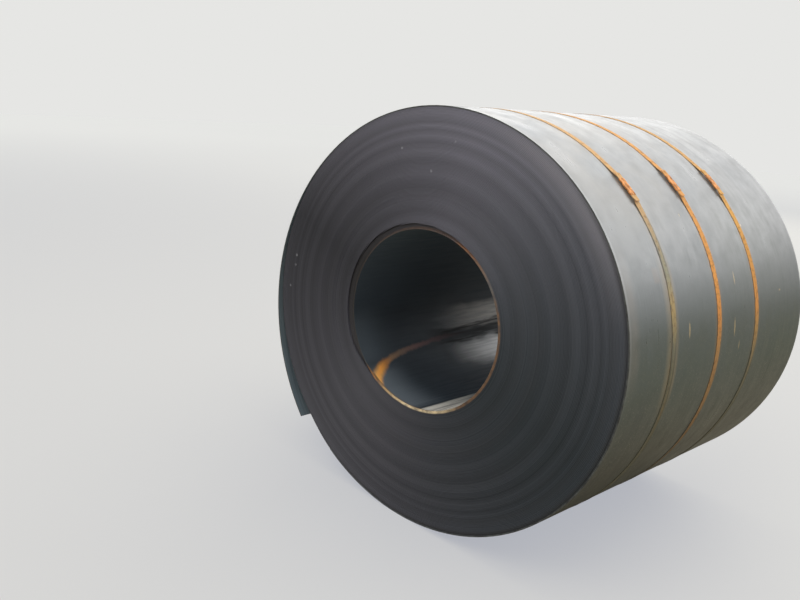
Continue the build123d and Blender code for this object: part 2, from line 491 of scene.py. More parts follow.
def spots(tree, across, up, marks):
    """1 in the middle of each oval mark, falling to 0 at its edge. A mark is its middle and half size."""
    found = 0.0
    flat = add(tree, "ShaderNodeCombineXYZ", {0: across, 1: up})[0]
    for middle, half_size in marks:
        apart = add(tree, "ShaderNodeVectorMath", {0: flat, 1: (*middle, 0)}, operation="SUBTRACT")[0]
        shares = add(tree, "ShaderNodeVectorMath", {0: apart, 1: (*half_size, 1)}, operation="DIVIDE")[0]
        out = add(tree, "ShaderNodeVectorMath", {0: shares}, operation="LENGTH")["Value"]
        mark = add(tree, "ShaderNodeMapRange", {"Value": out, "From Min": 1.0, "From Max": 0.3})["Result"]
        found = add(tree, "ShaderNodeMath", {0: mark, 1: found}, operation="MAXIMUM")[0]
    return found


def paint(tree, skin, over, *masks):
    """Lay a colour over the skin, as strongly as all the masks multiplied together."""
    share = masks[0]
    for mask in masks[1:]:
        share = add(tree, "ShaderNodeMath", {0: share, 1: mask}, operation="MULTIPLY")[0]
    over = colour(over) if isinstance(over, str) else over
    return add(tree, "ShaderNodeMix", {0: share, 6: skin, 7: over}, data_type="RGBA")[2]


def colour_round(tree, angle, stops):
    """A colour that changes round the coil, blended between those given at some angles."""
    share = add(tree, "ShaderNodeMapRange", {
        "Value": angle, "From Min": -HALF_TURN, "From Max": HALF_TURN,
    })["Result"]
    shares = [((at + HALF_TURN) / FULL_TURN, code) for at, code in stops]
    return add(tree, "ShaderNodeValToRGB", {0: share}, stops=shares)[0]


print("a finish can be masked by height, width, radius and angle")

# %% Noise of a real size


def patches(tree, place, size, detail, low, high, roughness=0.5):
    """Patches of this size: 0 where the noise is below one level, 1 where it is above the other."""
    found = add(tree, "ShaderNodeTexNoise", {
        "Vector": place, "Scale": 1 / size, "Detail": detail, "Roughness": roughness,
    })["Fac"]
    return add(tree, "ShaderNodeMapRange", {"Value": found, "From Min": low, "From Max": high})["Result"]


def strip_streaks(tree, place, length, width):
    """Noise drawn out along the strip, in streaks of this length and width."""
    stretched = add(tree, "ShaderNodeMapping", {
        "Vector": place, "Scale": (1 / length, 1 / width, 1 / length),
    })["Vector"]
    return add(tree, "ShaderNodeTexNoise", {"Vector": stretched, "Scale": 1.0, "Detail": 3.0})["Fac"]


print("a pattern 20 mm wide repeats", round(1 / (20 * MM)), "times in a metre")

# %% [markdown]
# ## Mill scale on the outside
# Hot strip leaves the mill with a thin blue-grey oxide skin, called mill scale. It is dark but satin,
# so it turns pale near the top of the coil, where it is seen at a low angle.
# It could be one painted image, but noise stretched along the strip stays sharp at any size,
# and the rolls drag just such streaks. The high IOR stands for the oxide, which reflects like dark glass.

# %% Streaks and clouds in the mill scale
# Roller lines are finer than a millimetre. They would not show from here, so they are drawn 6 mm wide.
# A streak is its length along the strip and its width.
WIDE_STREAK = (770 * MM, 23.81 * MM)
FINE_STREAK = (333 * MM, 6.25 * MM)
FINE_SHARE = 0.45
BLOTCH_SIZE = 385 * MM
GRIME_SIZE = 90.9 * MM
finish, tree, surface = new_finish("hot_rolled_mill_scale")
place, parts, radius, angle = measure_place(tree)
wide = strip_streaks(tree, place, *WIDE_STREAK)
fine = strip_streaks(tree, place, *FINE_STREAK)
streaks = add(tree, "ShaderNodeMix", {0: FINE_SHARE, 2: wide, 3: fine})[0]
streaky = add(tree, "ShaderNodeMapRange", {"Value": streaks, "From Min": 0.36, "From Max": 0.64})["Result"]
cloudy = patches(tree, place, BLOTCH_SIZE, 6.0, 0.32, 0.68, roughness=0.6)
grimy = patches(tree, place, GRIME_SIZE, 6.0, 0.34, 0.66, roughness=0.65)
skin = paint(tree, colour("#53595f"), "#787e82", streaky)
skin = paint(tree, skin, "#62686b", cloudy)
print("mill scale starts with", len(tree.nodes), "nodes")

# %% [markdown]
# ## Dust, film and dirt, with painted light and shade
# Where a coil has lain outside, pale dust settles on top, a green-grey film grows at the side
# and brownish dirt dries low down. The pale top is also painted light, and the dark film and dirt are also
# painted shade.
# All three follow the height, so a mask by height makes each of them, and they stay level even where the
# strip's own streaks run another way.

# %% Dust, film and dirt by height, with painted light on top and painted shade low down
DUST_AND_LIGHT_STARTS = 0.30
DUST_AND_LIGHT_FULL = 0.85
DUST_AND_LIGHT_SHARE = 0.5
FAR_HALF_SHADE_SHARE = 0.8
FILM_AND_SHADE = (0.50, -0.05, 0.90, "#2c4034")
DIRT_AND_SHADE = (0.05, -0.45, 0.95, "#33280f")
# Painted light: the top is painted paler, partly as dust
dust_and_light = add(tree, "ShaderNodeMapRange", {
    "Value": parts["Z"], "From Min": DUST_AND_LIGHT_STARTS, "From Max": DUST_AND_LIGHT_FULL, "To Max": DUST_AND_LIGHT_SHARE,
}, interpolation_type="SMOOTHSTEP")["Result"]
skin = paint(tree, skin, "#b3a797", dust_and_light, cloudy)
# Painted shade: the scale is painted darker towards the far end
far_half_shade = add(tree, "ShaderNodeMapRange", {
    "Value": parts["Y"], "From Min": -HALF_WIDTH, "From Max": HALF_WIDTH, "To Max": FAR_HALF_SHADE_SHARE,
})["Result"]
skin = paint(tree, skin, "#474949", far_half_shade)
patchy = add(tree, "ShaderNodeMapRange", {"Value": cloudy, "To Min": 0.7, "To Max": 1.0})["Result"]
# Painted shade: the film and dirt darken the lower side, partly as real grime
for starts, full, most, code in (FILM_AND_SHADE, DIRT_AND_SHADE):
    cover = add(tree, "ShaderNodeMapRange", {
        "Value": parts["Z"], "From Min": starts, "From Max": full, "To Max": most,
    }, interpolation_type="SMOOTHSTEP")["Result"]
    skin = paint(tree, skin, code, cover, patchy)
print("dust above", DUST_AND_LIGHT_STARTS, "m, film below", FILM_AND_SHADE[0], "m and dirt below", DIRT_AND_SHADE[0], "m")

# %% [markdown]
# ## Stains, and a painted shadow
# Rain washes rust off the straps on to the scale beside them, and slings and hooks leave patches.
# A painted mask could hold them all, but a soft band along the axis crossed with a soft band of angles
# makes one stain, noise makes it uneven, and each can then be moved by its own numbers.

# %% Stains with ragged edges
# A stain is two places along the axis and their softness, two angles and theirs, a share and a colour
STRAP_NAMES = ("near", "middle", "far")
STRAP_HALF_WIDTH = 16 * MM
STRAP_BOXES = [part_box("strap_" + name) for name in STRAP_NAMES]
STRAP_MIDDLES = [(low.y + high.y) / 2 for low, high in STRAP_BOXES]
PALE_PATCH = ((-0.762, -0.725, 0.050), (8, 22, 14), 0.50, "#857c72")
WARM_PATCH = ((-0.480, -0.430, 0.030), (-2, 20, 12), 0.60, "#98896a")
# A painted shadow beside the middle strap, low down, where the strap stands off the coil
MIDDLE_STRAP_SHADOW = ((-0.112, -0.094, 0.008), (-33, -17, 6), 0.95, "#121210")
SMUDGE = ((-0.540, -0.508, 0.010), (22.6, 25.0, 1.0), 0.60, "#7c6e64")
LOW_GRIME = ((-0.762, -0.500, 0.100), (-60, -12, 14), 0.50, "#2f3230")
GREEN_PATCH = ((0.100, 0.500, 0.200), (18, 34, 12), 0.35, "#4c5348")
stains_and_shade = [PALE_PATCH, WARM_PATCH, MIDDLE_STRAP_SHADOW, SMUDGE, LOW_GRIME, GREEN_PATCH]
for middle in STRAP_MIDDLES:
    beside_strap = (middle - STRAP_HALF_WIDTH, middle + STRAP_HALF_WIDTH, 0.028)
    stains_and_shade.append((beside_strap, (5, 150, 18), 0.45, "#8f7146"))
for along_axis, angles, most, code in stains_and_shade:
    across = band(tree, parts["Y"], *along_axis)
    around = band(tree, angle, *angles)
    uneven = add(tree, "ShaderNodeMapRange", {
        "Value": grimy, "To Min": 0.45 * most, "To Max": most,
    })["Result"]
    skin = paint(tree, skin, code, across, around, uneven)
print(len(stains_and_shade), "stains_and_shade")

# %% [markdown]
# ## Rubbed edges, grit and scars
# The strip's two edges are rubbed brighter in handling, and the brightening is made stronger towards the top
# as a painted highlight.
# Pale grit sticks to the lower side, and hooks leave rusty scars the size of a coin or a finger. The scars
# are ovals broken up by fine noise.
# Grains of grit are a millimetre or two, and are drawn as coarse as they need to be to show.

# %% Rubbed edges and grit
RUBBED_WIDTH = 10 * MM
RUBBED_FADE = 6 * MM
GRIT_SIZE = 6.667 * MM
from_middle = add(tree, "ShaderNodeMath", {0: parts["Y"]}, operation="ABSOLUTE")[0]
rubbed = band(tree, from_middle, HALF_WIDTH - RUBBED_WIDTH, HALF_WIDTH, RUBBED_FADE)
upper_half_highlight = add(tree, "ShaderNodeMapRange", {
    "Value": parts["Z"], "From Min": 0.0, "From Max": 0.5, "To Min": 0.08, "To Max": 0.45,
})["Result"]
# Painted highlight: the rubbed edges are painted brighter higher up
skin = paint(tree, skin, "#a2a5a6", rubbed, upper_half_highlight)
grit = patches(tree, place, GRIT_SIZE, 2.0, 0.58, 0.72)
low_down = add(tree, "ShaderNodeMapRange", {
    "Value": parts["Z"], "From Min": 0.35, "From Max": -0.2, "To Max": 0.45,
})["Result"]
skin = paint(tree, skin, "#a09a88", grit, low_down)
print("grains of grit are drawn", round(GRIT_SIZE / MM, 1), "mm across")

# %% Rusty scars, gloss and relief
# A scar is its place along the axis and its angle, then half its length in metres and its height in degrees
SCARS = (
    ((0.087, 19.7), (0.006, 2.2)), ((0.065, 7.4), (0.007, 3.0)), ((0.121, 2.1), (0.004, 1.6)),
    ((-0.325, 9.8), (0.007, 2.6)), ((0.300, 33.0), (0.008, 0.5)), ((-0.180, 37.5), (0.004, 0.6)),
    ((0.520, 14.0), (0.010, 0.4)),
)
SCAR_GRAIN = 6.25 * MM
MILL_SCALE_IOR = 1.9
scars = spots(tree, parts["Y"], angle, SCARS)
ragged = add(tree, "ShaderNodeTexNoise", {"Vector": place, "Scale": 1 / SCAR_GRAIN, "Detail": 2.0})["Fac"]
scars = add(tree, "ShaderNodeMath", {0: scars, 1: ragged}, operation="MULTIPLY")[0]
scars = add(tree, "ShaderNodeMapRange", {"Value": scars, "From Min": 0.08, "From Max": 0.38})["Result"]
skin = paint(tree, skin, "#b8a070", scars)
tree.links.new(skin, surface.inputs["Base Color"])
mottled = add(tree, "ShaderNodeMix", {0: 0.55, 2: streaky, 3: grimy})[0]
gloss = add(tree, "ShaderNodeMapRange", {"Value": mottled, "To Min": 0.25, "To Max": 0.48})["Result"]
tree.links.new(gloss, surface.inputs["Roughness"])
surface.inputs["IOR"].default_value = MILL_SCALE_IOR
relief = add(tree, "ShaderNodeBump", {"Height": mottled, "Strength": 0.14, "Distance": 0.4 * MM})["Normal"]
tree.links.new(relief, surface.inputs["Normal"])
print(finish.name, "has", len(tree.nodes), "nodes")

# %% [markdown]
# ## The ends of the laps
# The edges of a hundred laps make each end. They are dark, nearly matt and slightly purple,
# with bands where the mill's speed changed. The upper right and the lower left are painted paler, as painted
# light.
# A ramp by angle would need a seam where the angle starts again. A dot product with the direction
# from the axis has none, so it gives the tone.

# %% Rolled edges and their tone by direction
LIT_TOWARDS = 68.0
LOWER_LEFT_LIGHT_TOWARDS = -115.0
BLUER_WAY = (1, 0, -0.2)
finish, tree, surface = new_finish("rolled_strip_edges")
place, parts, radius, angle = measure_place(tree)
flat = add(tree, "ShaderNodeVectorMath", {0: place, 1: (1, 0, 1)}, operation="MULTIPLY")[0]
aim = add(tree, "ShaderNodeVectorMath", {0: flat}, operation="NORMALIZE")[0]
ways = [(cos(radians(at)), 0, sin(radians(at))) for at in (LIT_TOWARDS, LOWER_LEFT_LIGHT_TOWARDS)]
facing = []
for way in (*ways, BLUER_WAY):
    along = add(tree, "ShaderNodeVectorMath", {0: aim, 1: way}, operation="DOT_PRODUCT")["Value"]
    facing.append(add(tree, "ShaderNodeMath", {0: along, 1: 0.0}, operation="MAXIMUM")[0])
upper_right_light, lower_left_light, bluer = facing
outwards = add(tree, "ShaderNodeMapRange", {
    "Value": radius, "From Min": 0.5, "From Max": OUTER_RADIUS, "To Min": 0.45, "To Max": 1.0,
}, interpolation_type="SMOOTHSTEP")["Result"]
# Painted light: the ends are painted paler towards the upper right, most at the outside, and paler towards
# the lower left
skin = paint(tree, colour("#33333b"), "#888692", upper_right_light, outwards)
skin = paint(tree, skin, "#47464e", lower_left_light)
skin = paint(tree, skin, "#2b373d", bluer, 0.7)
print("the ends are palest towards", LIT_TOWARDS, "degrees")

# %% Bands, and the small change from one lap to the next
BROAD_BAND = 71.4 * MM
TONES_PER_LAP = 0.9
broad = add(tree, "ShaderNodeTexNoise", {
    "W": radius, "Scale": 1 / BROAD_BAND, "Detail": 2.0,
}, noise_dimensions="1D")["Fac"]
laps_out = add(tree, "ShaderNodeMath", {0: radius, 1: LAP_PITCH}, operation="DIVIDE")[0]
fine = add(tree, "ShaderNodeTexNoise", {
    "W": laps_out, "Scale": TONES_PER_LAP, "Detail": 1.0,
}, noise_dimensions="1D")["Fac"]
rings = add(tree, "ShaderNodeMath", {0: broad, 1: fine}, operation="ADD")[0]
shade = add(tree, "ShaderNodeMapRange", {"Value": rings, "From Min": 0.6, "From Max": 1.4})["Result"]
lifted = paint(tree, skin, "#8a8a90", 0.28)
skin = paint(tree, skin, lifted, shade, 0.55)
print("broad bands are", round(BROAD_BAND / MM), "mm wide, with", TONES_PER_LAP, "tones a lap over them")

# %% Dark rings where the mill slowed down
FIRST_PLAIN_RING = 0.425
DARK_RINGS = (0.459, 0.558, 0.668, 0.742, 0.790, 0.824)
PLAIN_TONE = "#ffffff"
DARK_TONE = "#dfdfdf"
tones = [(EYE_RADIUS, "#f0f0f0"), (FIRST_PLAIN_RING, PLAIN_TONE)]
for ring, next_ring in zip(DARK_RINGS, DARK_RINGS[1:] + (OUTER_RADIUS,)):
    tones += [(ring, DARK_TONE), ((ring + next_ring) / 2, PLAIN_TONE)]
up_the_wall = add(tree, "ShaderNodeMapRange", {
    "Value": radius, "From Min": EYE_RADIUS, "From Max": OUTER_RADIUS,
})["Result"]
ring_tone = add(tree, "ShaderNodeValToRGB", {0: up_the_wall}, stops=[
    ((at - EYE_RADIUS) / (OUTER_RADIUS - EYE_RADIUS), code) for at, code in tones
])[0]
skin = add(tree, "ShaderNodeMix", {
    0: 1.0, 6: skin, 7: ring_tone,
}, data_type="RGBA", blend_type="MULTIPLY")[2]
print(len(DARK_RINGS), "dark rings")

# %% Painted light on the outer laps, and painted shade on the sunk and slack laps
# The outer laps at the upper right are painted palest as painted light, and the sunk and the slack ones are
# painted dark as painted shade
LIT_RIM_SIDE = (40, 52, 30)
LIT_RIM_WIDTH = 20 * MM
LIT_RIM_FADE = 90 * MM
SHADED_RING_SIDE = (-100, 25, 30)
SHADED_RING_WIDTH = 9 * MM
SHADED_RING_FADE = 16 * MM
SLACK_SHADE_DEPTH = 6 * MM
BEYOND_RIM = 50 * MM
# Painted light: the outer laps are painted paler towards the upper right
lit_rim = band(tree, radius, OUTER_RADIUS - LIT_RIM_WIDTH, OUTER_RADIUS + BEYOND_RIM, LIT_RIM_FADE)
lit_upper_right = band(tree, angle, *LIT_RIM_SIDE)
skin = paint(tree, skin, "#a29ea4", lit_rim, lit_upper_right, 0.45)
# Painted shade: the ring of sunk outer laps is painted dark, most towards the lower right
sunk_ring_shade = band(tree, radius, OUTER_RADIUS - SHADED_RING_WIDTH, OUTER_RADIUS + BEYOND_RIM, SHADED_RING_FADE)
shaded_lower_right = band(tree, angle, *SHADED_RING_SIDE)
sunk_ring_shade_share = add(tree, "ShaderNodeMapRange", {"Value": shaded_lower_right, "To Min": 0.1, "To Max": 0.45})["Result"]
skin = paint(tree, skin, "#2a2521", sunk_ring_shade, sunk_ring_shade_share)
# Painted shade: the slack laps round the eye are painted dark where they stand back from the end
inner_laps = band(tree, radius, EYE_RADIUS, EYE_RADIUS + (SLACK_LAPS + 1) * LAP_PITCH, 0.002)
recessed_in_shade = band(tree, parts["Y"], -HALF_WIDTH + SLACK_SHADE_DEPTH, 0.0, 0.003)
skin = paint(tree, skin, "#2b2723", inner_laps, recessed_in_shade, 0.6)
print("slack laps reach", round(SLACK_LAPS * LAP_PITCH / MM), "mm out from the eye")

# %% Small pale scuffs where a hook or a chain has touched the end
# A place is its distance from the axis and its angle
SCUFF_SIZE = 13 * MM
SCUFF_GRAIN = 9.09 * MM
SCUFF_PLACES = (
    (0.754, 84.5), (0.727, 105.7), (0.624, 92.7), (0.804, 175.7), (0.828, -176.7), (0.806, 172.0),
)
scuffs = spots(tree, radius, angle, [
    ((out, at), (SCUFF_SIZE, degrees(SCUFF_SIZE / out))) for out, at in SCUFF_PLACES
])
chipped = add(tree, "ShaderNodeTexNoise", {"Vector": place, "Scale": 1 / SCUFF_GRAIN, "Detail": 2.0})["Fac"]
near_half = add(tree, "ShaderNodeMath", {0: parts["Y"], 1: 0.0}, operation="LESS_THAN")[0]
for mask in (chipped, near_half):
    scuffs = add(tree, "ShaderNodeMath", {0: scuffs, 1: mask}, operation="MULTIPLY")[0]
scuffs = add(tree, "ShaderNodeMapRange", {
    "Value": scuffs, "From Min": 0.32, "From Max": 0.60, "To Max": 0.8,
})["Result"]
skin = paint(tree, skin, "#a3a2a8", scuffs)
print(len(SCUFF_PLACES), "scuffs on the near end")

# %% [markdown]
# ## The rim of the eye
# Hooks and mandrels rub the rim, so bare metal shows there and rust starts from it.
# It is orange at the corner of the strip's inner end, painted pale below as a painted highlight along the
# rim's edge, and brown elsewhere.
# Noise alone would spread the rust evenly, so a ramp read by the angle gives each stretch its colour.

# %% Rust on the rim, and a painted highlight along its lower edge
RIM_WIDTH = 8 * MM
RIM_FADE = 5 * MM
RIM_GRAIN = 22.22 * MM
RIM_SCALE = "#37342f"
# The tan and cream below the eye are a painted highlight on the rim's edge
RIM_RUST = "#d08840"
RIM_DIM_HIGHLIGHT = "#c8a878"
RIM_HIGHLIGHT = "#fde6bc"
RIM_BROWN = "#866850"
RIM_GREY = "#74706c"
RIM_TAN = "#a87856"
RIM_UMBER = "#62524a"
RIM_COLOURS = (
    (-180, RIM_SCALE), (-134, RIM_SCALE), (-124, RIM_RUST), (-112, RIM_DIM_HIGHLIGHT),
    (-94, RIM_HIGHLIGHT), (-70, RIM_HIGHLIGHT), (-50, RIM_BROWN), (18, RIM_BROWN),
    (34, RIM_GREY), (61, RIM_TAN), (74, RIM_UMBER), (110, RIM_UMBER), (180, RIM_SCALE),
)
rim = band(tree, radius, 0.0, EYE_RADIUS + RIM_WIDTH, RIM_FADE)
patchy = add(tree, "ShaderNodeTexNoise", {"Vector": place, "Scale": 1 / RIM_GRAIN, "Detail": 4.0})["Fac"]
patchy = add(tree, "ShaderNodeMapRange", {
    "Value": patchy, "From Min": 0.3, "From Max": 0.55, "To Min": 0.35,
})["Result"]
skin = paint(tree, skin, colour_round(tree, angle, RIM_COLOURS), rim, patchy, near_half)
tree.links.new(skin, surface.inputs["Base Color"])
surface.inputs["Roughness"].default_value = 0.55
surface.inputs["IOR"].default_value = 1.45
print(finish.name, "has", len(tree.nodes), "nodes")

# %% [markdown]
# ## The worn edge of the last lap
# The outermost lap is knocked and scraped more than any other, so its edge is rubbed to grey metal.
# The finish of the other laps would draw their rings across it, so it has one of its own.

# %% Worn edge
SCRAPE_SIZE = 26.32 * MM
finish, tree, surface = new_finish("worn_strip_edge")
place = add(tree, "ShaderNodeTexCoord", {})["Object"]
scraped = patches(tree, place, SCRAPE_SIZE, 4.0, 0.35, 0.65)
skin = paint(tree, colour("#343433"), "#5c5f5c", scraped)
tree.links.new(skin, surface.inputs["Base Color"])
surface.inputs["Roughness"].default_value = 0.5
surface.inputs["IOR"].default_value = 1.6
print(finish.name, "has scrapes about", round(SCRAPE_SIZE / MM), "mm long")

# %% [markdown]
# ## Sheltered scale inside the tail
# Until the strip's outer end sprang open, the lap over it kept its inner side out of the weather.
# So the scale there is still clean and blue-grey, and it shows in the gap behind the tail.
# Streaks along the strip are all it needs, with none of the dust and stains of the outside.

# %% Sheltered scale
SHELTERED_STREAK = (500 * MM, 16.67 * MM)
finish, tree, surface = new_finish("sheltered_scale")
place = add(tree, "ShaderNodeTexCoord", {})["Object"]
streaks = strip_streaks(tree, place, *SHELTERED_STREAK)
streaks = add(tree, "ShaderNodeMapRange", {"Value": streaks, "From Min": 0.35, "From Max": 0.65})["Result"]
skin = paint(tree, colour("#6c7a82"), "#87959c", streaks)
tree.links.new(skin, surface.inputs["Base Color"])
surface.inputs["Roughness"].default_value = 0.5
surface.inputs["IOR"].default_value = 1.6
print(finish.name, "has streaks about", round(SHELTERED_STREAK[1] / MM), "mm wide")

# %% [markdown]
# ## Inside the eye
# The innermost lap was pressed on the coiler's drum, so its scale is smoother and very dark.
# Light from the far opening lies on it as soft streaks along the strip, so the noise is drawn
# on the wall unrolled flat: the angle one way and the depth from the near rim the other.

# %% Dark scale in the eye
# Streaks are drawn two degrees wide and 0.25 m long, because the real hair lines would not show
EYE_CLOUD_SIZE = 166.7 * MM
STREAK_SIZE = (2.0, 0.25, 1)
finish, tree, surface = new_finish("eye_mill_scale")
place, parts, radius, angle = measure_place(tree)
depth = add(tree, "ShaderNodeMath", {0: parts["Y"], 1: HALF_WIDTH}, operation="ADD")[0]
cloudy = add(tree, "ShaderNodeTexNoise", {"Vector": place, "Scale": 1 / EYE_CLOUD_SIZE, "Detail": 4.0})["Fac"]
skin = paint(tree, colour("#282d33"), "#384047", cloudy)
# Painted light: the upper wall of the eye is painted paler
lit_ceiling = add(tree, "ShaderNodeMapRange", {"Value": parts["Z"], "From Min": -0.1, "From Max": 0.3})["Result"]
skin = paint(tree, skin, "#66727e", lit_ceiling)
unrolled = add(tree, "ShaderNodeCombineXYZ", {0: angle, 1: depth})[0]
stretched = add(tree, "ShaderNodeVectorMath", {0: unrolled, 1: STREAK_SIZE}, operation="DIVIDE")[0]
streaks = add(tree, "ShaderNodeTexNoise", {
    "Vector": stretched, "Scale": 1.0, "Detail": 3.0,
}, noise_dimensions="2D")["Fac"]
streaky = add(tree, "ShaderNodeMapRange", {"Value": streaks, "From Min": 0.35, "From Max": 0.62})["Result"]
print("the eye's streaks are about", STREAK_SIZE[0], "degrees wide")

# %% Lights on the wall, with dark fingers of oil between them
# A light has its two angles with their softness, the depths where it starts and is full,
# its greatest share, how much the streaks take from it, and its colour
SWAY = 4.0
WAVE_SIZE = (9.09, 0.20, 1)
UPPER_LIGHT = ((-158, -148, 7), (0.52, 1.00), 1.00, 0.5, "#bfbbb5")
LOWER_LIGHT = ((-129, -121, 10), (0.52, 0.92), 1.00, 0.3, "#f8f8f8")
LEFT_SHEEN = ((-160, -140, 16), (0.26, 0.02), 0.34, 0.1, "#6c767e")
TONGUE_SHEEN = ((-122, -92, 12), (0.25, 0.02), 0.50, 0.1, "#88929a")
FLOOR_LIGHT = ((-81.3, -40, 0.7), (0.52, 0.05), 0.95, 0.6, "#e6e2d8")
FINGER_ANGLES = (-147.0, -136.0, 1.5)
waves = add(tree, "ShaderNodeVectorMath", {0: unrolled, 1: WAVE_SIZE}, operation="DIVIDE")[0]
waves = add(tree, "ShaderNodeTexNoise", {
    "Vector": waves, "Scale": 1.0, "Detail": 2.0,
}, noise_dimensions="2D")["Fac"]
sway = add(tree, "ShaderNodeMapRange", {"Value": waves, "To Min": -SWAY, "To Max": SWAY})["Result"]
away_from_rim = add(tree, "ShaderNodeMapRange", {"Value": depth, "From Min": 0.3, "From Max": 0.6})["Result"]
sway = add(tree, "ShaderNodeMath", {0: sway, 1: away_from_rim}, operation="MULTIPLY")[0]
wavy_angle = add(tree, "ShaderNodeMath", {0: angle, 1: sway}, operation="ADD")[0]
for angles, (start, full), most, streakiness, code in (
    UPPER_LIGHT, LOWER_LIGHT, LEFT_SHEEN, TONGUE_SHEEN, FLOOR_LIGHT,
):
    height = band(tree, wavy_angle, *angles)
    length = add(tree, "ShaderNodeMapRange", {
        "Value": depth, "From Min": start, "From Max": full,
    }, interpolation_type="SMOOTHSTEP")["Result"]
    uneven = add(tree, "ShaderNodeMapRange", {
        "Value": streaky, "To Min": most * (1 - streakiness), "To Max": most,
    })["Result"]
    skin = paint(tree, skin, code, height, length, uneven)
fingers = band(tree, wavy_angle, *FINGER_ANGLES)
deeper = add(tree, "ShaderNodeMapRange", {"Value": depth, "From Min": 0.44, "From Max": 0.60})["Result"]
oily = add(tree, "ShaderNodeMapRange", {"Value": streaky, "To Min": 0.9, "To Max": 0.35})["Result"]
for mask in (deeper, oily):
    fingers = add(tree, "ShaderNodeMath", {0: fingers, 1: mask}, operation="MULTIPLY")[0]
skin = paint(tree, skin, "#141516", fingers)
print("dark fingers from", FINGER_ANGLES[0], "to", FINGER_ANGLES[1], "degrees")

# %% [markdown]
# ## Rust round the tongue
# Rain that ran in has left orange rust round the strip's inner end, thickest at its corner
# and fading to brown along its edge. The edge is half an ellipse, so the rust follows how many degrees
# a point lies inside that ellipse, and the finish needs no picture of it.

# %% Rust along the tongue's edge
# A stop is how deep in the eye it lies, in metres, and its colour
# The rust is real, and its brightest orange near the rim is also painted light where light enters the eye
TONGUE_RUST_AND_LIGHT = (
    (0.00, "#ffbc68"), (0.06, "#f5a850"), (0.11, "#b87e4a"), (0.16, "#8c7058"),
    (0.24, "#78665a"), (0.36, "#806460"), (0.52, "#745c5c"), (0.80, "#3c3434"),
)
RUST_PATCH = 45.45 * MM
RUST_RAGGEDNESS = 4.0
RUST_STRIPE = (2.4, 3.2, 2.6)
RUST_ENDS = 0.80
RUST_FULL = 0.25
share = add(tree, "ShaderNodeMath", {0: parts["Y"], 1: HALF_WIDTH}, operation="DIVIDE")[0]
square = add(tree, "ShaderNodeMath", {0: share, 1: share}, operation="MULTIPLY")[0]
left_over = add(tree, "ShaderNodeMath", {0: 1.0, 1: square}, operation="SUBTRACT", use_clamp=True)[0]
height = add(tree, "ShaderNodeMath", {0: left_over}, operation="SQRT")[0]
reach = add(tree, "ShaderNodeMath", {0: height, 1: TONGUE_REACH}, operation="MULTIPLY")[0]
outline_angle = add(tree, "ShaderNodeMath", {0: TONGUE_CORNER_ANGLE, 1: reach}, operation="SUBTRACT")[0]
inside = add(tree, "ShaderNodeMath", {0: angle, 1: outline_angle}, operation="SUBTRACT")[0]
uneven = add(tree, "ShaderNodeTexNoise", {"Vector": place, "Scale": 1 / RUST_PATCH, "Detail": 5.0})["Fac"]
uneven = add(tree, "ShaderNodeMath", {0: uneven, 1: RUST_RAGGEDNESS}, operation="MULTIPLY")[0]
inside = add(tree, "ShaderNodeMath", {0: inside, 1: uneven}, operation="ADD")[0]
wider_at_corner = add(tree, "ShaderNodeMapRange", {
    "Value": depth, "From Max": 0.15, "To Min": 2.6, "To Max": 1.0,
})["Result"]
inside = add(tree, "ShaderNodeMath", {0: inside, 1: wider_at_corner}, operation="DIVIDE")[0]
rusty = band(tree, inside, *RUST_STRIPE)
rust_and_light_colour = add(tree, "ShaderNodeValToRGB", {0: depth}, stops=TONGUE_RUST_AND_LIGHT)[0]
fade = add(tree, "ShaderNodeMapRange", {
    "Value": depth, "From Min": RUST_ENDS, "From Max": RUST_FULL,
})["Result"]
rusty = add(tree, "ShaderNodeMath", {0: rusty, 1: fade}, operation="MULTIPLY")[0]
skin = paint(tree, skin, rust_and_light_colour, rusty)
print("rust on the tongue fades out", RUST_ENDS, "m in")

# %% Rusty lip, and the eye's roughness
# Rust and oil are rougher than clean scale, which keeps the far light off them
LIP_DEPTH = 4 * MM
LIP_FADE = 6 * MM
LIP_SIDE = (-126, 70, 8)
lip = band(tree, depth, -10 * MM, LIP_DEPTH, LIP_FADE)
lower_half = band(tree, angle, *LIP_SIDE)
skin = paint(tree, skin, "#8a6a48", lip, lower_half)
tree.links.new(skin, surface.inputs["Base Color"])
rough = add(tree, "ShaderNodeMapRange", {
    "Value": streaks, "From Min": 0.35, "From Max": 0.65, "To Min": 0.4, "To Max": 0.6,
})["Result"]
for mask, roughness in ((rusty, 0.85), (fingers, 0.75)):
    rough = add(tree, "ShaderNodeMix", {0: mask, 2: rough, 3: roughness})[0]
tree.links.new(rough, surface.inputs["Roughness"])
surface.inputs["IOR"].default_value = 1.25
print(finish.name, "has", len(tree.nodes), "nodes")

# %% [markdown]
# ## Rust on the straps
# The straps are thin bare steel, and they rust before the coil does, to a bright powdery orange.
# They could share one finish, but each has weathered in its own way. So one recipe takes a list
# of colours by angle, and another of how much of the width is rust. The near strap has gone khaki
# below its seal, and all of them are browner underneath.

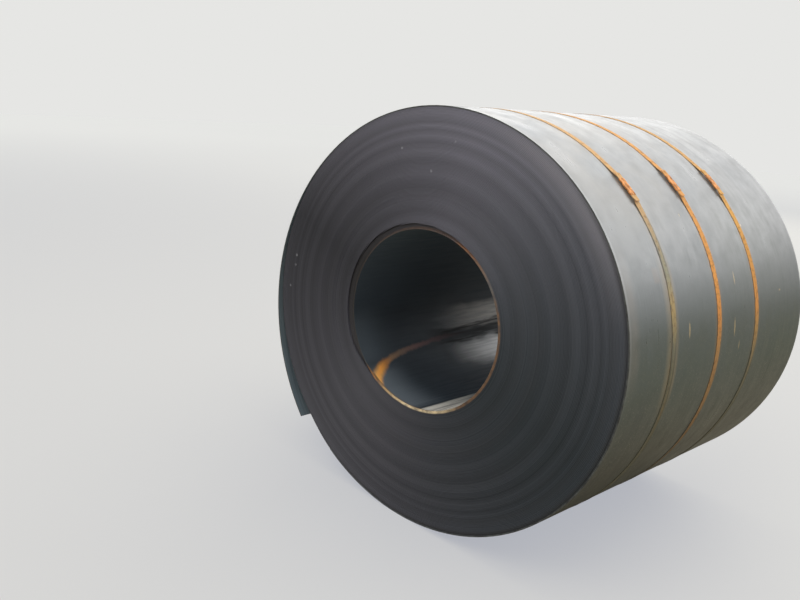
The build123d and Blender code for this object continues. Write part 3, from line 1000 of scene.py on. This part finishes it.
# %% How each strap has weathered
STRAP_COLOURS = {
    "near": (
        (-180, "#6b5138"), (-70, "#54503e"), (-24, "#5c5c50"), (-10, "#806e4a"), (6, "#827f66"),
        (16, "#c0a570"), (24, "#a6a48c"), (37, "#c8a87c"), (44, "#deac6c"), (90, "#d2aa78"),
        (180, "#8a6038"),
    ),
    "middle": (
        (-180, "#6b4628"), (-60, "#54463a"), (-30, "#785c3c"), (-8, "#a88050"), (3, "#c08e54"),
        (12, "#ec9c4a"), (20, "#fcac52"), (40, "#e8a250"), (90, "#d8a05c"), (180, "#8a5a30"),
    ),
    "far": (
        (-180, "#6b5138"), (-60, "#5a5444"), (-14, "#74705a"), (0, "#9a8258"), (6, "#c09454"),
        (12, "#e89c4a"), (36, "#eaac50"), (60, "#d8a662"), (180, "#8a6038"),
    ),
}
STRAP_COVER = {
    "near": (
        (-180, "#808080"), (-16, "#383838"), (-9, "#787878"), (0, "#505050"), (6, "#686868"),
        (10, "#e8e8e8"), (20, "#f0f0f0"), (27, "#a8a8a8"), (36, "#d8d8d8"), (42, "#ffffff"),
    ),
    "middle": ((-180, "#808080"), (-35, "#909090"), (-12, "#ffffff")),
    "far": ((-180, "#808080"), (-20, "#585858"), (-5, "#787878"), (2, "#ffffff")),
}
for position, stops in STRAP_COLOURS.items():
    print("the", position, "strap has", len(stops), "colours along it")

# %% Rusty straps
# Rust powder is finer than sand, so its unevenness is drawn as patches that are large enough to show.
# Where the rust is thin it keeps to the middle of the strap, and dusty grey shows at the edges.
POWDER_PATCH = 16.67 * MM
for position, middle in zip(STRAP_NAMES, STRAP_MIDDLES):
    finish, tree, surface = new_finish(f"rusty_{position}_strap")
    place, parts, radius, angle = measure_place(tree)
    powder = add(tree, "ShaderNodeTexNoise", {
        "Vector": place, "Scale": 1 / POWDER_PATCH, "Detail": 5.0,
    })["Fac"]
    dark = add(tree, "ShaderNodeMapRange", {
        "Value": powder, "From Min": 0.50, "From Max": 0.70, "To Max": 0.55,
    })["Result"]
    skin = paint(tree, colour_round(tree, angle, STRAP_COLOURS[position]), "#7a4a22", dark)
    bare = add(tree, "ShaderNodeMath", {0: parts["Y"], 1: middle}, operation="SUBTRACT")[0]
    bare = add(tree, "ShaderNodeMath", {0: bare}, operation="ABSOLUTE")[0]
    bare = add(tree, "ShaderNodeMath", {0: bare, 1: STRAP_HALF_WIDTH}, operation="DIVIDE")[0]
    ragged = add(tree, "ShaderNodeMapRange", {
        "Value": powder, "From Min": 0.3, "From Max": 0.7, "To Min": -0.2, "To Max": 0.2,
    })["Result"]
    bare = add(tree, "ShaderNodeMath", {0: bare, 1: ragged}, operation="ADD")[0]
    cover = colour_round(tree, angle, STRAP_COVER[position])
    bare = add(tree, "ShaderNodeMath", {0: bare, 1: cover}, operation="SUBTRACT")[0]
    bare = add(tree, "ShaderNodeMapRange", {"Value": bare, "From Min": -0.05, "From Max": 0.3})["Result"]
    high_up = add(tree, "ShaderNodeMapRange", {
        "Value": parts["Z"], "From Min": 0.0, "From Max": 0.4,
    })["Result"]
    dust = paint(tree, colour("#69644f"), "#8f8b7e", high_up)
    skin = paint(tree, skin, dust, bare)
    tree.links.new(skin, surface.inputs["Base Color"])
    surface.inputs["Roughness"].default_value = 0.75
    pitted = add(tree, "ShaderNodeBump", {"Height": powder, "Strength": 0.4, "Distance": 0.3 * MM})["Normal"]
    tree.links.new(pitted, surface.inputs["Normal"])
    strap = frame["nodes"]["strap_" + position]
    strap.data.materials.clear()
    strap.data.materials.append(finish)
    print(finish.name, "has", len(tree.nodes), "nodes")

# %% [markdown]
# ## Rust on the seals
# A seal is folded and crimped from thicker steel. It is rubbed less than the strap, and dries to
# a pale, uneven brown. Each seal could have its own colours too, but all three are alike
# and too small for a difference to show, so they share one finish.

# %% Rusty seals
SEAL_RUST_PATCH = 18.18 * MM
finish, tree, surface = new_finish("rusty_seal")
place = add(tree, "ShaderNodeTexCoord", {})["Object"]
powder = add(tree, "ShaderNodeTexNoise", {
    "Vector": place, "Scale": 1 / SEAL_RUST_PATCH, "Detail": 5.0,
})["Fac"]
tone = add(tree, "ShaderNodeMapRange", {"Value": powder, "From Min": 0.35, "From Max": 0.65})["Result"]
skin = paint(tree, colour("#a6724a"), "#f2b476", tone)
tree.links.new(skin, surface.inputs["Base Color"])
surface.inputs["Roughness"].default_value = 0.8
pitted = add(tree, "ShaderNodeBump", {"Height": powder, "Strength": 0.5, "Distance": 0.4 * MM})["Normal"]
tree.links.new(pitted, surface.inputs["Normal"])
for position in STRAP_NAMES:
    seal = frame["nodes"]["seal_" + position]
    seal.data.materials.clear()
    seal.data.materials.append(finish)
print(finish.name, "on", len(STRAP_NAMES), "seals")

# %% [markdown]
# ## Camera
# The camera stands a little above the coil's axis, to the right of its near end.
# Turning the camera would put the coil off centre too, but it would change the view of the eye.
# A lens shift moves the picture alone, as when it is cropped.

# %% Camera
CAMERA_PLACE = (2.0919, -3.3794, 0.9128)
CAMERA_YAW = 51.96
CAMERA_PITCH = 11.22
CAMERA_ROLL = 4.01
SENSOR_WIDTH = 36
LENS_LENGTH = 36.25
LENS_SHIFT_RIGHT = 0.20
LENS_SHIFT_UP = -0.06875
camera_data = bpy.data.cameras.new("camera")
camera = bpy.data.objects.new("camera", camera_data)
scene.collection.objects.link(camera)
scene.camera = camera
camera.matrix_world = (
    Matrix.Translation(CAMERA_PLACE)
    @ Matrix.Rotation(radians(CAMERA_YAW), 4, "Z")
    @ Matrix.Rotation(radians(90 - CAMERA_PITCH), 4, "X")
    @ Matrix.Rotation(radians(CAMERA_ROLL), 4, "Z")
)
camera_data.sensor_width = SENSOR_WIDTH
camera_data.lens = LENS_LENGTH
camera_data.shift_x = LENS_SHIFT_RIGHT
camera_data.shift_y = LENS_SHIFT_UP
print("camera", round(Vector(CAMERA_PLACE).length, 2), "m from the middle of the coil")

# %% [markdown]
# ## Floor
# A white floor would light the underside of the coil, which is dark on the real one. So the floor's
# own colour is a middle one, and what makes it pale is a glow for camera rays alone,
# which grows with distance until the floor meets the backdrop with no edge.

# %% Floor
FLOOR_SIZE = 60
GLOW_STARTS = 3.0
GLOW_FULL = 26.0
bpy.ops.object.select_all(action="DESELECT")
bpy.ops.mesh.primitive_plane_add(size=FLOOR_SIZE, location=(0, 0, cad_low.z))
ground = bpy.context.object
ground.name = "pale_floor"
finish, tree, surface = new_finish("pale_floor")
surface.inputs["Base Color"].default_value = colour("#8d8876")
surface.inputs["Roughness"].default_value = 0.9
ray = add(tree, "ShaderNodeLightPath", {})
place = add(tree, "ShaderNodeTexCoord", {})["Object"]
away = add(tree, "ShaderNodeVectorMath", {0: place}, operation="LENGTH")["Value"]
far_off = add(tree, "ShaderNodeMapRange", {
    "Value": away, "From Min": GLOW_STARTS, "From Max": GLOW_FULL,
}, interpolation_type="SMOOTHSTEP")["Result"]
paleness = paint(tree, colour("#abaeb7"), "#cdcfd1", far_off)
tree.links.new(paleness, surface.inputs["Emission Color"])
tree.links.new(ray["Is Camera Ray"], surface.inputs["Emission Strength"])
ground.data.materials.append(finish)
print("floor", FLOOR_SIZE, "m wide at", round(cad_low.z, 3), "m")

# %% [markdown]
# ## Backdrop
# The world is the backdrop. The camera and reflections see it nearly white, so the satin steel shows it.
# A wall behind the coil could do that, but a world can be told apart by the kind of ray,
# so the light that it gives to matt surfaces is set on its own and kept low.

# %% World
FILL_STRENGTH = 0.45
world = bpy.data.worlds.new("studio")
scene.world = world
world.use_nodes = True
tree = world.node_tree
tree.nodes.clear()
ray = add(tree, "ShaderNodeLightPath", {})
seen = ray["Is Camera Ray"]
for kind in ("Is Glossy Ray", "Is Transmission Ray"):
    seen = add(tree, "ShaderNodeMath", {0: seen, 1: ray[kind]}, operation="MAXIMUM")[0]
fill = add(tree, "ShaderNodeBackground", {"Color": colour("#ffffff"), "Strength": FILL_STRENGTH})[0]
backdrop = add(tree, "ShaderNodeBackground", {"Color": colour("#e6e6e4"), "Strength": 1.0})[0]
mixed = add(tree, "ShaderNodeMixShader", {0: seen, 1: fill, 2: backdrop})[0]
add(tree, "ShaderNodeOutputWorld", {"Surface": mixed})
print("backdrop with a fill light of", FILL_STRENGTH)

# %% [markdown]
# ## Lamps
# Large panels give soft shadows. One hangs overhead, one stands in front for the near end,
# and a wide one low behind the coil lights the top of it at a glancing angle, which satin scale
# throws back to the camera as the pale sheen along the top.

# %% Lamps
# Each panel has its place, what it is aimed at, its width, its height and its power in watts
PANELS = {
    "sky_panel": ((0.5, 0.5, 6.0), (0.0, 0.0, 0.0), 7.0, 7.0, 170),
    "horizon_panel": ((1.0, 12.0, 6.6), (0.3, 0.0, 0.5), 24.0, 9.0, 1150),
    "front_panel": ((1.0, -7.0, 6.5), (0.0, -0.7, -0.2), 6.0, 5.0, 260),
}
for name, (stands, aimed_at, width, height, power) in PANELS.items():
    panel = bpy.data.lights.new(name, "AREA")
    panel.shape = "RECTANGLE"
    panel.size = width
    panel.size_y = height
    panel.energy = power
    lamp = bpy.data.objects.new(name, panel)
    scene.collection.objects.link(lamp)
    aim = (Vector(aimed_at) - Vector(stands)).to_track_quat("-Z", "Y")
    lamp.matrix_world = Matrix.Translation(stands) @ aim.to_matrix().to_4x4()
    lamp.visible_camera = False
scene.view_settings.view_transform = "Standard"
print(len(PANELS), "panels")

# %% [markdown]
# ## The imported box
# The finished coil is meant to fill the same box as the imported part, so that box is printed.

# %% Print the imported part's box
print("cad box", [round(value, 4) for value in (*cad_low, *cad_high)])
